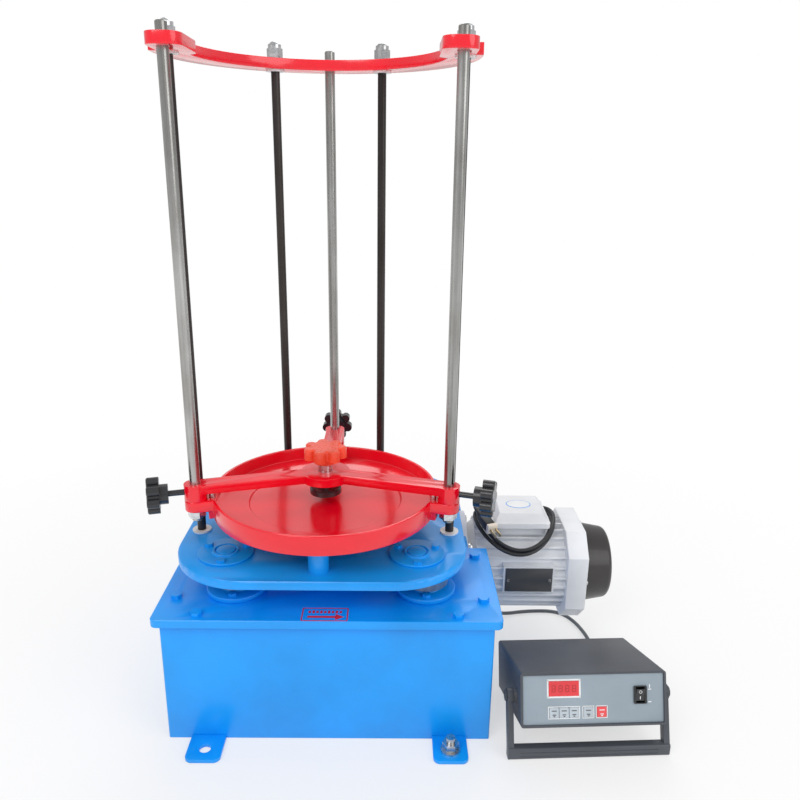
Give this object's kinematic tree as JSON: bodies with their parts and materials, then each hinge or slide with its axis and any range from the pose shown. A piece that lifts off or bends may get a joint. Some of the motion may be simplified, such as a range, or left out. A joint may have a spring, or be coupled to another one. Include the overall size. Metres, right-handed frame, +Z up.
{
  "type": "sieve shaker",
  "caption": "Electric laboratory sieve shaker: a swinging and jolting tray with a rod clamp on a box base, with a flange motor and a separate timer box.",
  "frame": {"origin": "centre of the base box's footprint, on the surface that the machine stands on", "axes": "+Z up, +X towards the motor, -Y towards the operator"},
  "size_m": [0.6993, 0.473, 0.8995],
  "materials": {
    "blue_paint": "gloss enamel",
    "red_paint": "gloss enamel",
    "black_paint": "semi gloss",
    "silver_paint": "satin silver paint",
    "steel": "ground bar",
    "bright_steel": "plated",
    "dark_steel": "dark column bar",
    "iron": "machined casting",
    "black_plastic": "moulded",
    "red_plastic": "moulded",
    "grey_plastic": "textured case",
    "pale_plastic": "moulded",
    "window": "red display window",
    "rubber": "matt",
    "panel_paint": "grey blue panel"
  },
  "bodies": {
    "root": {"base_box": "blue_paint", "mounting_lugs": "blue_paint", "lug_stud": "steel", "cover_plate": "blue_paint", "cover_screws": "steel", "lower_bearings": "blue_paint", "worm_reducer": "iron", "motor_flange": "silver_paint", "motor_body": "silver_paint", "motor_rear_cover": "silver_paint", "fan_cowl": "black_paint", "nameplate": "black_plastic", "terminal_box": "silver_paint", "terminal_box_lid": "silver_paint", "cord_glands": "black_plastic", "timer_case": "grey_plastic", "timer_front": "panel_paint", "timer_rear": "panel_paint", "display": "window", "rocker_bezel": "black_plastic", "timer_feet": "rubber", "timer_cord": "rubber", "mains_cord": "rubber", "mains_plug": "pale_plastic"},
    "crank_rear": {"crank_rear": "steel"},
    "crank_left": {"crank_left": "steel"},
    "crank_right": {"crank_right": "steel"},
    "motor_rotor": {"motor_shaft": "steel", "cooling_fan": "black_plastic"},
    "cam": {"jolt_cam": "iron"},
    "lifter": {"jolt_lifter": "iron"},
    "table": {"table_plate": "blue_paint", "upper_bearings": "iron", "bearing_caps": "blue_paint", "cap_screws": "steel", "guide_post": "blue_paint", "columns": "dark_steel", "column_washers": "pale_plastic", "dome_nuts": "bright_steel", "top_plate": "red_paint"},
    "tray": {"tray": "red_paint", "tray_spindles": "steel", "guide_rods": "bright_steel", "rod_nuts": "bright_steel", "ear_screws": "bright_steel"},
    "clamp": {"clamp_spider": "red_paint", "hub_collar": "bright_steel"},
    "foot": {"pressure_foot": "rubber"},
    "centre_screw": {"centre_screw": "steel", "centre_knob": "red_plastic"},
    "side_screw_left": {"side_knob_left": "black_plastic"},
    "side_screw_right": {"side_knob_right": "black_plastic"},
    "side_screw_rear": {"side_knob_rear": "black_plastic"},
    "bail": {"bail": "grey_plastic"},
    "rocker": {"rocker": "black_plastic"},
    "key_one": {"key_one": "pale_plastic"},
    "key_two": {"key_two": "pale_plastic"},
    "key_three": {"key_three": "pale_plastic"},
    "key_start": {"key_start": "pale_plastic"},
    "key_stop": {"key_stop": "red_plastic"}
  },
  "joints": [
    {"name": "crank_rear_turn", "type": "hinge", "parent": "root", "child": "crank_rear", "pos_m": [0, 0.12, 0.2], "axis": [0, 0, 1], "continuous": true},
    {"name": "crank_left_turn", "type": "hinge", "parent": "root", "child": "crank_left", "pos_m": [-0.128, -0.121, 0.2], "axis": [0, 0, 1], "continuous": true},
    {"name": "crank_right_turn", "type": "hinge", "parent": "root", "child": "crank_right", "pos_m": [0.128, -0.121, 0.2], "axis": [0, 0, 1], "continuous": true},
    {"name": "table_swing", "type": "hinge", "parent": "crank_rear", "child": "table", "pos_m": [-0.0125, 0.12, 0.23], "axis": [0, 0, 1], "continuous": true},
    {"name": "motor_turn", "type": "hinge", "parent": "root", "child": "motor_rotor", "pos_m": [0.2, 0.08, 0.12], "axis": [1, 0, 0], "continuous": true},
    {"name": "cam_turn", "type": "hinge", "parent": "root", "child": "cam", "pos_m": [0, -0.046, 0.1137], "axis": [1, 0, 0], "range_deg": [0, 330]},
    {"name": "lifter_rise", "type": "slide", "parent": "root", "child": "lifter", "axis": [0, 0, 1], "range_m": [0, 0.008]},
    {"name": "tray_lift", "type": "slide", "parent": "table", "child": "tray", "axis": [0, 0, 1], "range_m": [0, 0.008]},
    {"name": "clamp_slide", "type": "slide", "parent": "tray", "child": "clamp", "axis": [0, 0, 1], "range_m": [0, 0.48]},
    {"name": "foot_rise", "type": "slide", "parent": "clamp", "child": "foot", "axis": [0, 0, 1], "range_m": [0, 0.012]},
    {"name": "centre_screw_turn", "type": "hinge", "parent": "foot", "child": "centre_screw", "pos_m": [-0.0125, -0.046, 0.33], "axis": [0, 0, 1], "range_deg": [0, 1440]},
    {"name": "side_screw_left_turn", "type": "hinge", "parent": "clamp", "child": "side_screw_left", "pos_m": [-0.18246, -0.09506, 0.3183], "axis": [-0.9608, -0.2773, 0], "continuous": true},
    {"name": "side_screw_right_turn", "type": "hinge", "parent": "clamp", "child": "side_screw_right", "pos_m": [0.15746, -0.09506, 0.3183], "axis": [0.9608, -0.2773, 0], "continuous": true},
    {"name": "side_screw_rear_turn", "type": "hinge", "parent": "clamp", "child": "side_screw_rear", "pos_m": [-0.0125, 0.1309, 0.3183], "axis": [0, 1, 0], "continuous": true},
    {"name": "bail_fold", "type": "hinge", "parent": "root", "child": "bail", "pos_m": [0.24623, -0.19611, 0.07572], "axis": [0.999, 0.0454, 0], "range_deg": [-170, 0]},
    {"name": "rocker_tip", "type": "hinge", "parent": "root", "child": "rocker", "pos_m": [0.40304, -0.21044, 0.09015], "axis": [0.999, 0.0454, 0], "range_deg": [-18, 0]},
    {"name": "key_one_press", "type": "slide", "parent": "root", "child": "key_one", "axis": [-0.0428, 0.9423, -0.3322], "range_m": [0, 0.001], "stiffness_N_per_m": 400},
    {"name": "key_two_press", "type": "slide", "parent": "root", "child": "key_two", "axis": [-0.0428, 0.9423, -0.3322], "range_m": [0, 0.001], "stiffness_N_per_m": 400},
    {"name": "key_three_press", "type": "slide", "parent": "root", "child": "key_three", "axis": [-0.0428, 0.9423, -0.3322], "range_m": [0, 0.001], "stiffness_N_per_m": 400},
    {"name": "key_start_press", "type": "slide", "parent": "root", "child": "key_start", "axis": [-0.0428, 0.9423, -0.3322], "range_m": [0, 0.001], "stiffness_N_per_m": 400},
    {"name": "key_stop_press", "type": "slide", "parent": "root", "child": "key_stop", "axis": [-0.0428, 0.9423, -0.3322], "range_m": [0, 0.001], "stiffness_N_per_m": 400}
  ],
  "couplings": [
    {"joint": "crank_left_turn", "follows": "crank_rear_turn", "ratio": 1},
    {"joint": "crank_right_turn", "follows": "crank_rear_turn", "ratio": 1},
    {"joint": "table_swing", "follows": "crank_rear_turn", "ratio": -1},
    {"joint": "motor_turn", "follows": "crank_rear_turn", "ratio": 6.3333},
    {"joint": "lifter_rise", "follows": "tray_lift", "ratio": 1},
    {"joint": "cam_turn", "follows": "tray_lift", "rad_per_m": 719.9},
    {"joint": "centre_screw_turn", "follows": "foot_rise", "rad_per_m": 2094}
  ]
}
